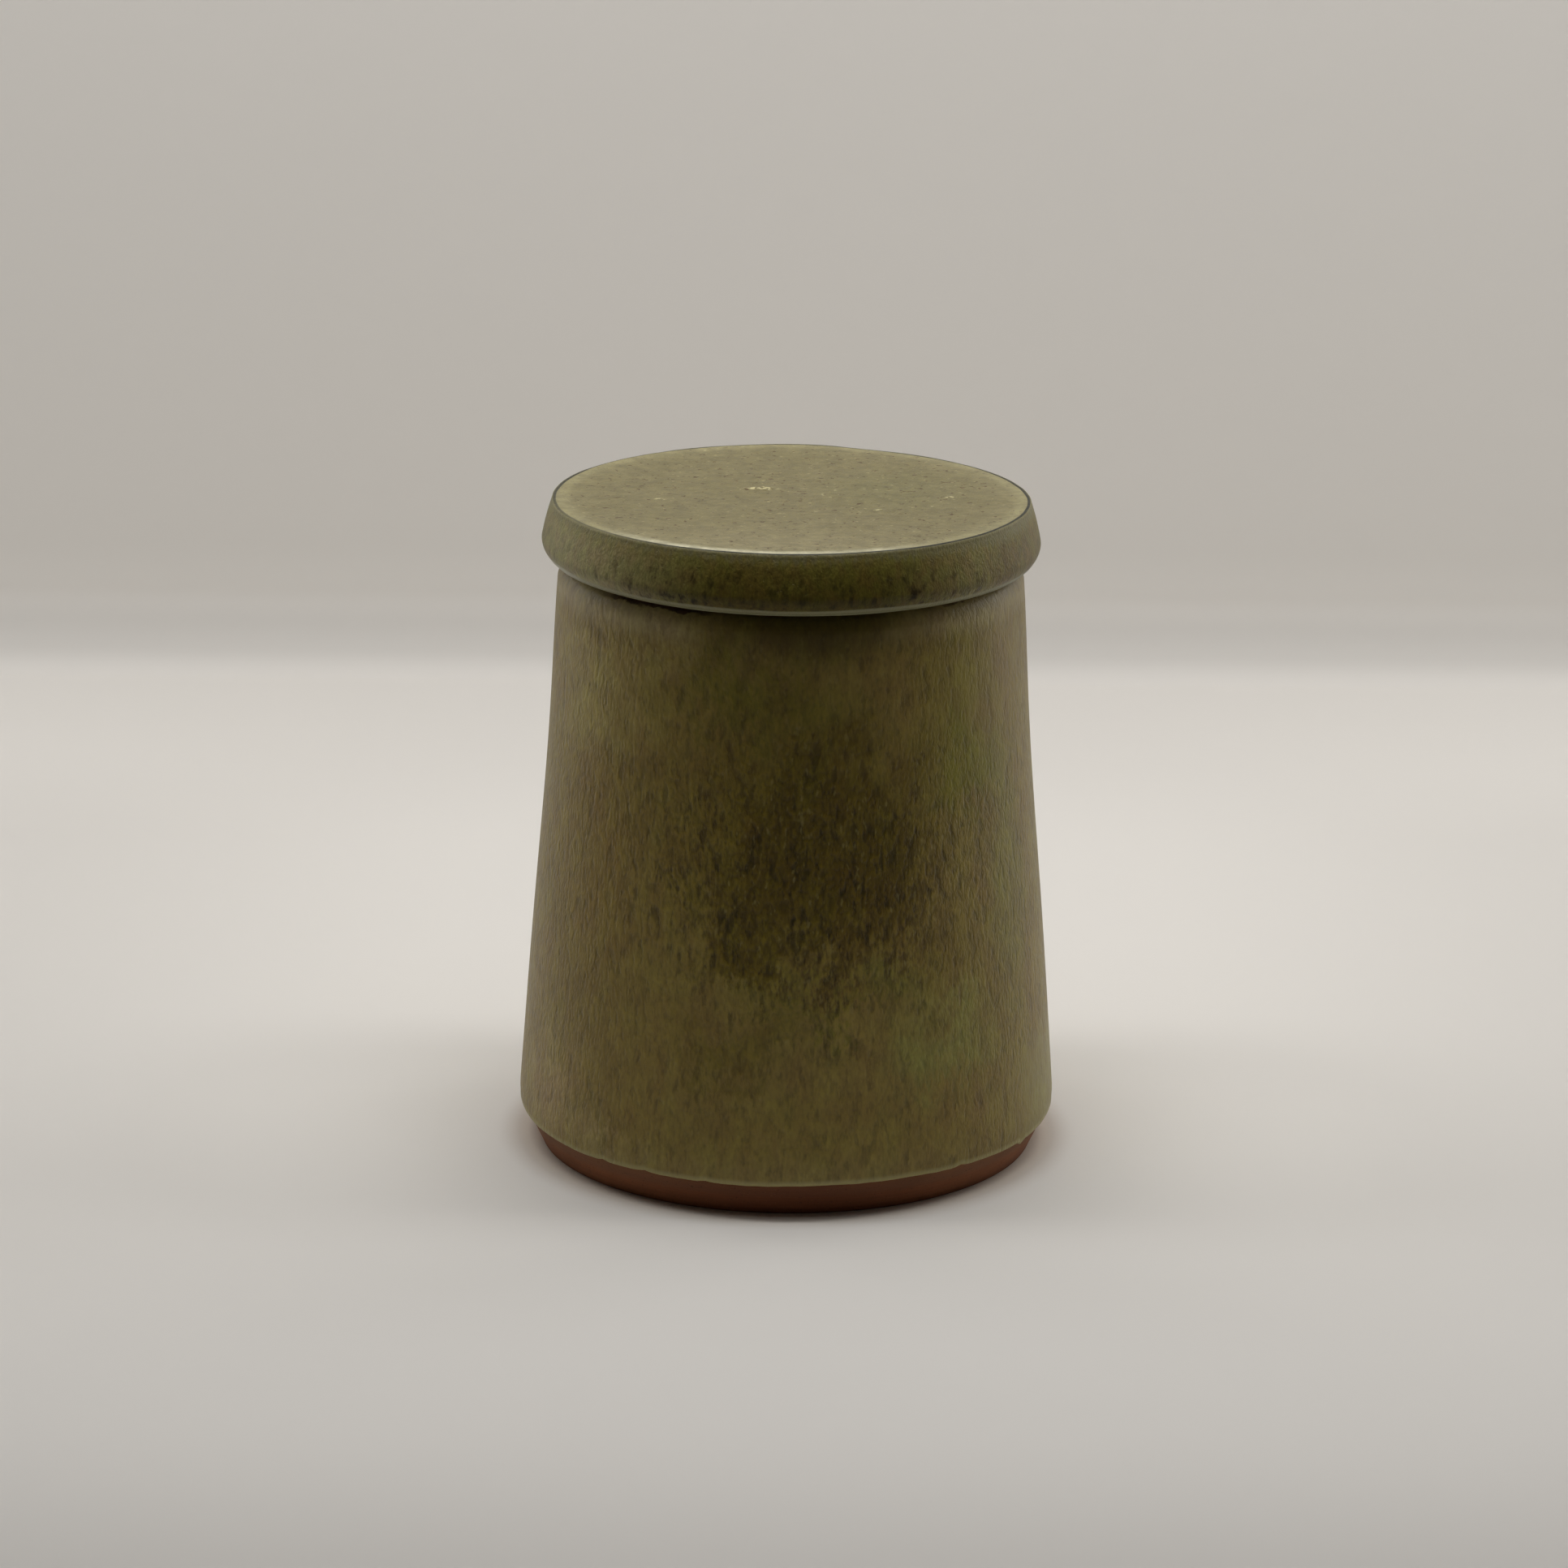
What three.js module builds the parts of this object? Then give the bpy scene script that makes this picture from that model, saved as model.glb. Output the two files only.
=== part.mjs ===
// A wheel-thrown stoneware storage jar with a lift-off lid. Sizes are in millimetres and +Z is up.
// The origin is the centre of the foot's underside.
// Every piece is a body of revolution about Z. Its half section is a list of [radius, height]
// points, which is turned round the axis once.

import * as THREE from "three";

// Fineness of the turned surfaces
const turnSegments = 48;
const wallSteps = 6;
const bellySteps = 2;
const roundSteps = 4;
const edgeSteps = 2;
const lipSteps = 3;
const dishSteps = 4;

// Glaze coats. The kiln fuses them to the clay, and the bond gap only keeps the solids apart.
const bondGap = 0.05;
const glazeThickness = 0.6;
const linerThickness = 0.5;

// Jar, outside
const jarDiameter = 100; // widest, over the glaze
const shoulderDiameter = 85.6; // just under the rounded rim, over the glaze
const rimHeight = 110.85;
const rimRound = 4.2; // outer rounding of the clay rim
const rimInnerRound = 0.8;
const bellyHeight = 9.6; // height of the widest ring
const wallHollow = 0.45; // how far the tapered wall dips inside a straight cone
const hollowRise = 1.75; // above 1 the deepest dip lies above the middle of the wall

// Foot, left bare below the glaze line
const footBevelHeight = 6.2;
const footSetback = 3.3; // foot's edge, inside the widest clay ring
const bevelTopSetback = 0.45; // top of the bevel, inside the same ring
const footEdgeRound = 0.4;
const footRingWidth = 6;
const recessDepth = 1.5;
const recessRun = 1.5; // width of the slope from the foot ring up into the recess
const glazeLineRise = 0.4; // from the top of the bevel to the clay under the glaze's edge

// Jar, inside
const wallThickness = 4.6;
const floorThickness = 5;
const innerCornerRound = 9;
const rimWall = 5.3; // clay wall at the mouth, thicker so that the lid has a seat
const mouthDepth = 12; // upright part of the mouth that takes the lid's flange
const mouthBlend = 8; // height over which the mouth runs out into the tapered wall
const linerDrop = 2.5; // from the rim down to the top of the liner glaze

// Lid
const seatGap = 0.3; // between the rim and the lid's underside
const lidOverhang = 2.87; // beyond the shoulder, over the glaze
const lidThickness = 10.2; // clay, from the seat to the top edge
const lidFlare = 1.77; // top edge, inside the widest ring
const lidSideSwell = 0.13; // how far the side bulges outside a straight cone, halfway up
const lidLowerRound = 3.15;
const lidTopRound = 0.25;
const lidDish = 0.5; // how far the middle of the top lies below its edge
const dishSharpness = 4; // a higher power keeps the middle flatter
const crownThickness = 5.4; // clay in the middle of the lid
const glazeWrap = 1.2; // how far the lid's glaze runs in under its lower edge

// Locating flange under the lid
const flangeClearance = 0.9; // all round, to the liner glaze
const flangeDepth = 8;
const flangeWall = 4;
const flangeTaper = 0.4;
const flangeEdgeRound = 1.2;
const ceilingRound = 3;
const flangeBareEdge = 2.5; // flange left bare below the underside's glaze

// The glaze on the shoulder stops here, as an angle up the rim's outer rounding
const shoulderGlazeAngle = THREE.MathUtils.degToRad(35);
const quarterTurn = Math.PI / 2;

// Sizes that follow from the ones above
const coat = bondGap + glazeThickness;
const liner = bondGap + linerThickness;
const bellyRadius = jarDiameter / 2 - coat;
const shoulderRadius = shoulderDiameter / 2 - coat;
const shoulderHeight = rimHeight - rimRound;
const mouthRadius = shoulderRadius - rimWall;
const footRadius = bellyRadius - footSetback;
const floorHeight = recessDepth + floorThickness;
const lidSeat = rimHeight + seatGap;
const lidTop = lidSeat + lidThickness;
const lidRadius = shoulderDiameter / 2 + lidOverhang - coat;
const lidTopRadius = lidRadius - lidFlare;
const lidSideHeight = lidSeat + lidLowerRound;
const flangeRadius = mouthRadius - liner - flangeClearance;
const flangeInnerRadius = flangeRadius - flangeWall;
const flangeBottom = lidSeat - flangeDepth;
const lidCeiling = lidTop - lidDish - crownThickness;

// Points of an arc about a centre, from one angle to another, both ends included
function arc([radius, height], size, from, to, steps = roundSteps) {
  return Array.from({ length: steps + 1 }, (_, i) => {
    const angle = from + ((to - from) * i) / steps;
    return [
      radius + size * Math.cos(angle),
      height + size * Math.sin(angle),
    ];
  });
}

// Unit vector to the left of the way from one point to the next
function leftOf([r0, z0], [r1, z1]) {
  const length = Math.hypot(r1 - r0, z1 - z0);
  return [(z0 - z1) / length, (r1 - r0) / length];
}

// The path moved to its left by a distance that is kept square to every stretch of it. A point on
// the axis stays there.
function offset(path, distance) {
  return path.map((point, i) => {
    const before = leftOf(path[Math.max(i, 1) - 1], path[Math.max(i, 1)]);
    const next = Math.min(i, path.length - 2);
    const after = leftOf(path[next], path[next + 1]);
    const sum = [before[0] + after[0], before[1] + after[1]];
    const reach = distance / (sum[0] * before[0] + sum[1] * before[1]);
    const radius = point[0] === 0 ? 0 : point[0] + sum[0] * reach;
    return [radius, point[1] + sum[1] * reach];
  });
}

// The rounded lip that closes a coat at one end of its path, without the points on its two faces
function lip(point, left, thickness, turn) {
  const middle = bondGap + thickness / 2;
  const centre = [point[0] + left[0] * middle, point[1] + left[1] * middle];
  const from = Math.atan2(left[1], left[0]) + turn;
  return arc(centre, thickness / 2, from, from + Math.PI, lipSteps).slice(1, -1);
}

// Half section of a glaze coat on the left of a path that may start or end on the axis
function coatOn(path, thickness) {
  const inner = offset(path, bondGap);
  const outer = offset(path, bondGap + thickness).reverse();
  const startLip = lip(path[0], leftOf(path[0], path[1]), thickness, 0);
  const endLip = lip(path.at(-1), leftOf(path.at(-2), path.at(-1)), thickness, Math.PI);
  if (path[0][0] === 0) return [...inner, ...endLip, ...outer];
  if (path.at(-1)[0] === 0) return [...outer, ...startLip, ...inner];
  return [...inner, ...endLip, ...outer, ...startLip, inner[0]];
}

// Outer clay radius of the tapered wall, from the widest ring up to the shoulder
function wallRadius(height) {
  const share = (height - bellyHeight) / (shoulderHeight - bellyHeight);
  const straight = bellyRadius + (shoulderRadius - bellyRadius) * share;
  return straight - wallHollow * Math.sin(Math.PI * share ** hollowRise) ** 2;
}

// Outer clay radius below the widest ring, where the wall turns in to the bevel
function bellyCurve(height) {
  const share = (bellyHeight - height) / (bellyHeight - footBevelHeight);
  return bellyRadius - bevelTopSetback * share ** 2;
}

// Heights from one value to another in equal steps, both ends included
function heights(from, to, steps) {
  return Array.from({ length: steps + 1 }, (_, i) => from + ((to - from) * i) / steps);
}

const rimCentre = [shoulderRadius - rimRound, shoulderHeight];

// Clay under the jar's outer glaze, from the glaze line up to the shoulder
const glazeLine = footBevelHeight + glazeLineRise;
const glazedOutside = [
  ...heights(glazeLine, bellyHeight, bellySteps)
    .slice(0, -1)
    .map((height) => [bellyCurve(height), height]),
  ...heights(bellyHeight, shoulderHeight, wallSteps)
    .slice(0, -1)
    .map((height) => [wallRadius(height), height]),
  ...arc(rimCentre, rimRound, 0, shoulderGlazeAngle, edgeSteps),
];

// Bare clay from the edge of the shoulder's glaze over the rim to the top of the liner glaze
const bareRim = [
  ...arc(rimCentre, rimRound, shoulderGlazeAngle, quarterTurn).slice(1),
  ...arc(
    [mouthRadius + rimInnerRound, rimHeight - rimInnerRound],
    rimInnerRound,
    quarterTurn,
    Math.PI,
    edgeSteps,
  ),
];

// Clay under the liner glaze, from its top edge down to the middle of the floor
const cornerHeight = floorHeight + innerCornerRound;
const cornerRadius = wallRadius(cornerHeight) - wallThickness - innerCornerRound;
const mouthEnd = rimHeight - mouthDepth;
const linedInside = [
  [mouthRadius, rimHeight - linerDrop],
  [mouthRadius, mouthEnd],
  ...heights(mouthEnd - mouthBlend, cornerHeight, wallSteps)
    .slice(0, -1)
    .map((height) => [wallRadius(height) - wallThickness, height]),
  ...arc([cornerRadius, cornerHeight], innerCornerRound, 0, -quarterTurn),
  [0, floorHeight],
];

// Bare clay under the jar: middle of the recess, foot ring, rounded edge and bevel
const underFoot = [
  [0, recessDepth],
  [footRadius - footRingWidth - recessRun, recessDepth],
  [footRadius - footRingWidth, 0],
  [footRadius - footEdgeRound, 0],
  [footRadius, footEdgeRound],
  [bellyCurve(footBevelHeight), footBevelHeight],
];

// Clay under the lid's glaze: dished top, flared side, rounded lower edge and the wrap beneath
const dish = heights(0, lidTopRadius - lidTopRound, dishSteps).map((radius) => {
  const share = radius / (lidTopRadius - lidTopRound);
  return [radius, lidTop - lidDish * (1 - share ** dishSharpness)];
});
const glazedLid = [
  ...dish,
  [lidTopRadius, lidTop - lidTopRound],
  [(lidTopRadius + lidRadius) / 2 + lidSideSwell, (lidTop - lidTopRound + lidSideHeight) / 2],
  ...arc(
    [lidRadius - lidLowerRound, lidSideHeight],
    lidLowerRound,
    0,
    -quarterTurn,
  ),
  [lidRadius - lidLowerRound - glazeWrap, lidSeat],
].reverse();

// Clay under the glaze inside the lid: ceiling, corner and the flange's inner wall
const linedCeiling = [
  [0, lidCeiling],
  ...arc(
    [flangeInnerRadius - ceilingRound, lidCeiling - ceilingRound],
    ceilingRound,
    quarterTurn,
    0,
  ),
  [flangeInnerRadius, flangeBottom + flangeBareEdge],
];

// Bare clay of the flange, from the underside's glaze round its edge and up to the seat
const flangeFoot = flangeRadius - flangeTaper;
const bareFlange = [
  ...arc(
    [flangeInnerRadius + flangeEdgeRound, flangeBottom + flangeEdgeRound],
    flangeEdgeRound,
    Math.PI,
    Math.PI + quarterTurn,
    edgeSteps,
  ),
  ...arc(
    [flangeFoot - flangeEdgeRound, flangeBottom + flangeEdgeRound],
    flangeEdgeRound,
    -quarterTurn,
    0,
    edgeSteps,
  ),
  [flangeRadius, lidSeat],
];

const redClay = { color: 0x6b452e, roughness: 0.85, metalness: 0 };
const jarGlaze = { color: 0x625935, roughness: 0.42, metalness: 0 };
const lidGlaze = { color: 0x898063, roughness: 0.45, metalness: 0 };
const linerGlaze = { color: 0x6a6140, roughness: 0.4, metalness: 0 };

// A named piece turned from its closed half section, which runs anticlockwise in [radius, height]
function turned(name, section, look) {
  const points = section.map(([radius, height]) => new THREE.Vector2(radius, height));
  const geometry = new THREE.LatheGeometry(points, turnSegments).rotateX(quarterTurn);
  const piece = new THREE.Mesh(geometry, new THREE.MeshStandardMaterial(look));
  piece.name = name;
  return piece;
}

const jarSection = [...underFoot, ...glazedOutside, ...bareRim, ...linedInside];
const lidSection = [...linedCeiling, ...bareFlange, ...glazedLid];

const jar = new THREE.Group().add(
  turned("jar_body", jarSection, redClay),
  turned("jar_outer_glaze", coatOn([...glazedOutside].reverse(), glazeThickness), jarGlaze),
  turned("jar_liner_glaze", coatOn([...linedInside].reverse(), linerThickness), linerGlaze),
);
const lid = new THREE.Group().add(
  turned("lid_body", lidSection, redClay),
  turned("lid_top_glaze", coatOn([...glazedLid].reverse(), glazeThickness), lidGlaze),
  turned("lid_underside_glaze", coatOn([...linedCeiling].reverse(), linerThickness), linerGlaze),
);

const group = new THREE.Group().add(jar, lid);

export default group;
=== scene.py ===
import functools
import math

import bmesh
import bpy
from mathutils import Matrix, Vector, noise


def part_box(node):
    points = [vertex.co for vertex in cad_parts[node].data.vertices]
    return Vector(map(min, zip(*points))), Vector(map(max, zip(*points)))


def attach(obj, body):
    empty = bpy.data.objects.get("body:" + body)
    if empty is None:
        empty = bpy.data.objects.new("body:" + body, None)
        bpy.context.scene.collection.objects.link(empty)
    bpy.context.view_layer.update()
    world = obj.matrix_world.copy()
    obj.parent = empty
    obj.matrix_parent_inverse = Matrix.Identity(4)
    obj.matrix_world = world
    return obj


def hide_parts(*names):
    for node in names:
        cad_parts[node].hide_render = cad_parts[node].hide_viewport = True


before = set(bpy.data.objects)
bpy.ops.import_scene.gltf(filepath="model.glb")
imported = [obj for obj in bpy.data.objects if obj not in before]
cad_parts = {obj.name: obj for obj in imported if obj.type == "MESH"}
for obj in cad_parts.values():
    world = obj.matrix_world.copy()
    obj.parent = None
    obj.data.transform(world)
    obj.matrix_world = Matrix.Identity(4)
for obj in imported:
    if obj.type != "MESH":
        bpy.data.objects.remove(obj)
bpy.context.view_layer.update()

# Lengths below are in millimetres. Blender's unit is the metre.
MM = 0.001
FULL_TURN = 2 * math.pi
QUARTER_TURN = math.pi / 2


def corner(name, end, axis):
    """One coordinate of a CAD node's box, in millimetres: end 0 is its lowest, 1 its highest."""
    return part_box(name)[end][axis] / MM


# Sizes read from the CAD frame
bond_gap = 0.05
glaze_thickness = 0.6
liner_thickness = 0.5
coat = bond_gap + glaze_thickness
belly_radius = corner("jar_body", 1, 0)
rim_height = corner("jar_body", 1, 2)
lid_radius = corner("lid_body", 1, 0)
lid_top = corner("lid_body", 1, 2)
flange_bottom = corner("lid_body", 0, 2)

# Jar, as the clay was thrown and trimmed
shoulder_radius = 42.15
rim_round = 4.2
shoulder_height = rim_height - rim_round
rim_wall = 5.3
rim_inner_round = 0.8
mouth_radius = shoulder_radius - rim_wall
mouth_depth = 12.0
mouth_blend = 8.0
belly_height = 9.6
wall_hollow = 0.45
hollow_rise = 1.75
foot_bevel_height = 6.2
foot_setback = 3.3
bevel_top_setback = 0.45
foot_edge_round = 0.2
foot_ring_width = 6.0
recess_depth = 1.5
recess_run = 1.5
wall_thickness = 4.6
floor_height = recess_depth + 5.0
inner_corner_round = 9.0
liner_drop = 2.5
foot_radius = belly_radius - foot_setback

# Lid
lid_seat = rim_height + 0.3
lid_flare = 1.77
lid_side_swell = 0.13
lid_lower_round = 3.15
lid_edge_round = 0.3
lid_dish = 0.5
dish_sharpness = 4
crown_thickness = 5.4
glaze_wrap = 1.2
lid_top_radius = lid_radius - lid_flare
lid_side_height = lid_seat + lid_lower_round
flange_radius = mouth_radius - bond_gap - liner_thickness - 0.9
flange_wall = 4.0
flange_taper = 0.4
flange_edge_round = 1.2
flange_inner_radius = flange_radius - flange_wall
flange_bare_edge = 2.5
ceiling_round = 3.0
lid_ceiling = lid_top - lid_dish - crown_thickness

# Fineness of the turned meshes
turn_sectors = 16
turn_steps = 24 * turn_sectors
hidden_turn_steps = 12 * turn_sectors
wall_spacing = 1.2
edge_spacing = 0.12
merge_distance = 1e-3


def arc(centre, size, start, end, steps=8):
    """Points of an arc about a centre, both ends included."""
    angles = [start + (end - start) * i / steps for i in range(steps + 1)]
    return [(centre[0] + size * math.cos(a), centre[1] + size * math.sin(a)) for a in angles]


def spaced(start, end, step):
    """Numbers from start to end in equal steps of about the given size, both ends included."""
    count = max(1, round(abs(end - start) / step))
    return [start + (end - start) * i / count for i in range(count + 1)]


def wall_radius(height):
    """Outer clay radius of the tapered wall, from the widest ring up to the shoulder."""
    share = (height - belly_height) / (shoulder_height - belly_height)
    straight = belly_radius + (shoulder_radius - belly_radius) * share
    return straight - wall_hollow * math.sin(math.pi * share ** hollow_rise) ** 2


def belly_curve(height):
    """Outer clay radius below the widest ring, where the wall turns in to the bevel."""
    share = (belly_height - height) / (belly_height - foot_bevel_height)
    return belly_radius - bevel_top_setback * share ** 2


def bevel_radius(height):
    """Outer clay radius of the bare bevel, a straight line from the foot up to the wall."""
    run = belly_curve(foot_bevel_height) - foot_radius
    return foot_radius + run * (height - foot_edge_round) / (foot_bevel_height - foot_edge_round)


class Line:
    """A line of (radius, height) points that can be read at any distance along it."""

    def __init__(self, points, side):
        self.points = [p for i, p in enumerate(points) if i == 0 or math.dist(p, points[i - 1]) > 1e-6]
        pairs = list(zip(self.points, self.points[1:]))
        self.marks = [0.0]
        for a, b in pairs:
            self.marks.append(self.marks[-1] + math.dist(a, b))
        outs = [side * Vector((a[1] - b[1], b[0] - a[0])).normalized() for a, b in pairs]
        ends = [outs[0], *outs, outs[-1]]
        self.outs = [(a + b).normalized() for a, b in zip(ends, ends[1:])]
        self.length = self.marks[-1]

    def at(self, distance):
        """The point at a distance along the line, and the way out of the clay there."""
        low, high = 0, len(self.marks) - 1
        while high - low > 1:
            middle = (low + high) // 2
            low, high = (middle, high) if self.marks[middle] <= distance else (low, middle)
        share = (distance - self.marks[low]) / (self.marks[high] - self.marks[low])
        point = Vector(self.points[low]).lerp(Vector(self.points[high]), share)
        return point, self.outs[low].lerp(self.outs[high], max(0, min(1, share))).normalized()


# Which side of a line's way the glaze lies on
left_side, right_side = 1, -1


def raised(line, height, side):
    """A copy of a line, moved out of the clay by a height."""
    return Line([(p[0] + way[0] * height, p[1] + way[1] * height)
                 for p, way in zip(line.points, line.outs)], side)


@functools.cache
def around(angle, size, seed):
    """Smooth noise from -1 to 1 that closes on itself round the axis. A larger size has finer waves."""
    return noise.noise(Vector((math.cos(angle) * size, math.sin(angle) * size, seed)))


def bump_at(value, centre, width):
    """A bell-shaped bump of height 1."""
    return math.exp(-((value - centre) / width) ** 2)


def angle_gap(a, b):
    """Signed difference of two angles, in degrees, from -180 to 180."""
    return (a - b + 180) % 360 - 180


def facing(angle):
    """Degrees round the jar from the side that the camera sees, positive to the right."""
    return math.degrees(angle) + 90


# How far the thrown wall is out of round, always inwards
jar_out_of_round = 0.12
lid_out_of_round = 0.1


def jar_place(angle, radius, height):
    """A point of the jar, with the small unevenness that hand throwing leaves."""
    uneven = 0.5 + 0.5 * around(angle, 0.9, height / 60)
    radius -= jar_out_of_round * uneven * min(1, radius / belly_radius)
    return Vector((radius * math.cos(angle), radius * math.sin(angle), height)) * MM


# The lid's rim dips a little at the back right, as degrees round the jar and depth
rim_dip_from, rim_dip_to = 98, 168
rim_dip_depth = 0.38
rim_dip_step = 6

# and its lower edge rises a little at the left
edge_lift_at, edge_lift_width = -72, 48
edge_lift = 0.45


def lid_place(angle, radius, height):
    """A point of the lid, out of round by a hair, with its rim's dip and its lower edge's rise."""
    uneven = 0.5 + 0.5 * around(angle, 0.8, 7.3)
    turned_by = facing(angle) % 360
    dip = (1 + math.tanh((turned_by - rim_dip_from) / rim_dip_step * 0.5)) / 2
    dip *= (1 + math.tanh((rim_dip_to - turned_by) / rim_dip_step)) / 2
    share = min(1, radius / lid_top_radius)
    upper = max(0, min(1, (height - lid_side_height) / (lid_top - lid_side_height)))
    lifted = edge_lift * bump_at(angle_gap(facing(angle), edge_lift_at), 0, edge_lift_width)
    height += (lifted * (1 - upper) - rim_dip_depth * dip * upper) * share ** 6
    radius -= lid_out_of_round * uneven * share
    return Vector((radius * math.cos(angle), radius * math.sin(angle), height)) * MM


def linked_mesh(name, bm):
    """A new object in the scene, made from a bmesh, which is then freed."""
    mesh = bpy.data.meshes.new(name)
    bm.to_mesh(mesh)
    bm.free()
    made = bpy.data.objects.new(name, mesh)
    bpy.context.scene.collection.objects.link(made)
    return made


def turned(name, section, place, steps, closed=False):
    """Spin a section about the jar's axis, then set every point by its angle and two section values.

    The section's first value is kept on the points as the attribute 'along'."""
    bm = bmesh.new()
    along = bm.verts.layers.float.new("along")
    verts = [bm.verts.new((a, 0, b)) for a, b in section]
    edges = [bm.edges.new(pair) for pair in zip(verts, verts[1:])]
    if closed:
        edges.append(bm.edges.new((verts[-1], verts[0])))
    sector = FULL_TURN / turn_sectors
    bmesh.ops.spin(bm, geom=verts + edges, cent=(0, 0, 0), axis=(0, 0, 1), angle=sector,
                   steps=steps // turn_sectors)
    first = bm.verts[:] + bm.edges[:] + bm.faces[:]
    for i in range(1, turn_sectors):
        copied = bmesh.ops.duplicate(bm, geom=first)["geom"]
        moved = [g for g in copied if isinstance(g, bmesh.types.BMVert)]
        bmesh.ops.rotate(bm, verts=moved, cent=(0, 0, 0), matrix=Matrix.Rotation(sector * i, 3, "Z"))
    bmesh.ops.remove_doubles(bm, verts=bm.verts, dist=merge_distance)
    step = FULL_TURN / steps
    for vert in bm.verts:
        x, y, b = vert.co
        a = math.hypot(x, y)
        vert.co = place(round(math.atan2(y, x) / step) * step, a, b)
        vert[along] = a
    bmesh.ops.remove_doubles(bm, verts=bm.verts, dist=merge_distance * MM)
    bmesh.ops.recalc_face_normals(bm, faces=bm.faces)
    for face in bm.faces:
        face.smooth = True
    return linked_mesh(name, bm)


# A coat's section is spun as (distance along it + this, 0 on the clay or 1 on the skin)
SECTION_SHIFT = 10.0

# The finished skins stay this far under the CAD's own, and hidden walls need few points
skin_margin = 0.02
liner_margin = 0.03
hidden_spacing = 3.0


def coat_section(skin, start_edge, end_edge, hidden_step):
    """Section of a coat: the skin's own points, finer at its open edges, and the hidden inner side."""
    fine = [edge_spacing * i * (i + 1) / 2 for i in range(1, 9)]
    low = fine[-1] if start_edge else -1
    high = skin.length - fine[-1] if end_edge else skin.length + 1
    outer = [m for m in skin.marks if low + edge_spacing < m < high - edge_spacing]
    if start_edge:
        outer = [0.0, *fine, *outer]
    if end_edge:
        outer = [*outer, *(skin.length - d for d in reversed(fine)), skin.length]
    inner = spaced(0.0, skin.length, hidden_step)
    inner = inner[1:] if start_edge else inner
    inner = inner[:-1] if end_edge else inner
    if end_edge:
        loop = [(d, 1) for d in outer] + [(d, 0) for d in reversed(inner)]
    else:
        loop = [(d, 1) for d in reversed(outer)] + [(d, 0) for d in inner]
    return [(d + SECTION_SHIFT, lift) for d, lift in loop]


def glaze_coat(name, clay, skin, place, cover, start, end, steps):
    """A closed coat of glaze from just over the clay's line out to the skin's line.

    Start and end give the place of each open edge along the skin, by angle, and cover gives the
    share of full thickness and a height that is added on top of the skin."""
    section = coat_section(skin, start is not None, end is not None, wall_spacing * 3)

    def spot(angle, a, lift):
        first = start(angle) if start else 0.0
        last = end(angle) if end else skin.length
        share = (a - SECTION_SHIFT) / skin.length
        distance = first + (last - first) * share
        to_first = distance - first if start else math.inf
        to_last = last - distance if end else math.inf
        base, out = clay.at(clay.length * distance / skin.length)
        base += out * bond_gap
        if lift:
            top, way = skin.at(distance)
            thick, extra = cover(angle, distance, to_first, to_last)
            base = base.lerp(top + way * extra, thick)
        on_axis = (not start and share <= 1e-6) or (not end and share >= 1 - 1e-6)
        return place(angle, 0.0 if on_axis else max(base[0], 0.0), base[1])

    return turned(name, section, spot, steps, closed=start is not None and end is not None)


def lip(distance, size):
    """Rounds a coat off at its edge: 0 at the edge, 1 from one size away."""
    if distance >= size:
        return 1.0
    return math.sqrt(max(0.0, 1 - (1 - distance / size) ** 2))


# Outside of the jar's clay, from low on the bevel up to the top of the rim
bevel_start = 3.6
rim_centre = (shoulder_radius - rim_round, shoulder_height)
outside = Line([
    *((bevel_radius(z), z) for z in spaced(bevel_start, foot_bevel_height - 0.4, 0.4)),
    *((belly_curve(z), z) for z in spaced(foot_bevel_height + 0.3, belly_height, 0.4)[:-1]),
    *((wall_radius(z), z) for z in spaced(belly_height, shoulder_height, 1.5)),
    *arc(rim_centre, rim_round, 0, QUARTER_TURN, 24)[1:],
], right_side)
glaze_line = 3.18
glaze_to_top = 30
shoulder_line = outside.length - rim_round * math.radians(glaze_to_top)
skin_shoulder_line = shoulder_line + coat * math.radians(90 - glaze_to_top)

# Where the clay shows in a thin line under the lid: degrees round the jar, drop, and width in degrees
shoulder_dips = [(-28, 0.3, 3.5), (-45, 0.3, 14), (-4, 0.35, 12), (150, 0.6, 14)]

# Small accidents of the glaze line at the foot: degrees round the jar, rise, and width in degrees
foot_notches = [(-88, 0.65, 20), (-42, 0.35, 1.1), (-31, 0.3, 0.9), (-17, 0.3, 1.2), (40, 0.3, 1.2),
                (61, -0.75, 0.9), (86, 0.6, 18), (128, -0.5, 2.0), (-150, 0.35, 4), (178, -0.4, 3)]


@functools.cache
def foot_edge(angle):
    """Where the outer glaze starts, along the clay."""
    wander = 0.2 * around(angle, 1.6, 3.1) + 0.14 * around(angle, 7, 5.7) + 0.09 * around(angle, 24, 9.2)
    steps = sum(rise * bump_at(angle_gap(facing(angle), at), 0, width) for at, rise, width in foot_notches)
    return glaze_line + wander + steps


def shoulder_edge(angle):
    """Where the outer glaze stops under the lid, along the clay."""
    wander = 0.2 * around(angle, 2.2, 4.4) + 0.15 * around(angle, 9, 1.8) + 0.1 * around(angle, 30, 6.6)
    drops = sum(drop * bump_at(angle_gap(facing(angle), at), 0, width) for at, drop, width in shoulder_dips)
    return skin_shoulder_line + wander - drops


def outer_cover(angle, distance, to_foot, to_rim):
    """Glaze rolls up a little at the foot and thins out over the shoulder."""
    roll = 0.12 * bump_at(to_foot, 0.65, 0.5)
    thin = 1 - 0.5 * bump_at(to_rim, 0, 1.6)
    return thin * lip(to_foot, 0.42) * lip(to_rim, 0.3), roll


outer_skin = raised(outside, coat - skin_margin, right_side)
jar_glaze_piece = glaze_coat("jar_ash_glaze", outside, outer_skin, jar_place, outer_cover,
                             foot_edge, shoulder_edge, turn_steps)

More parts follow.
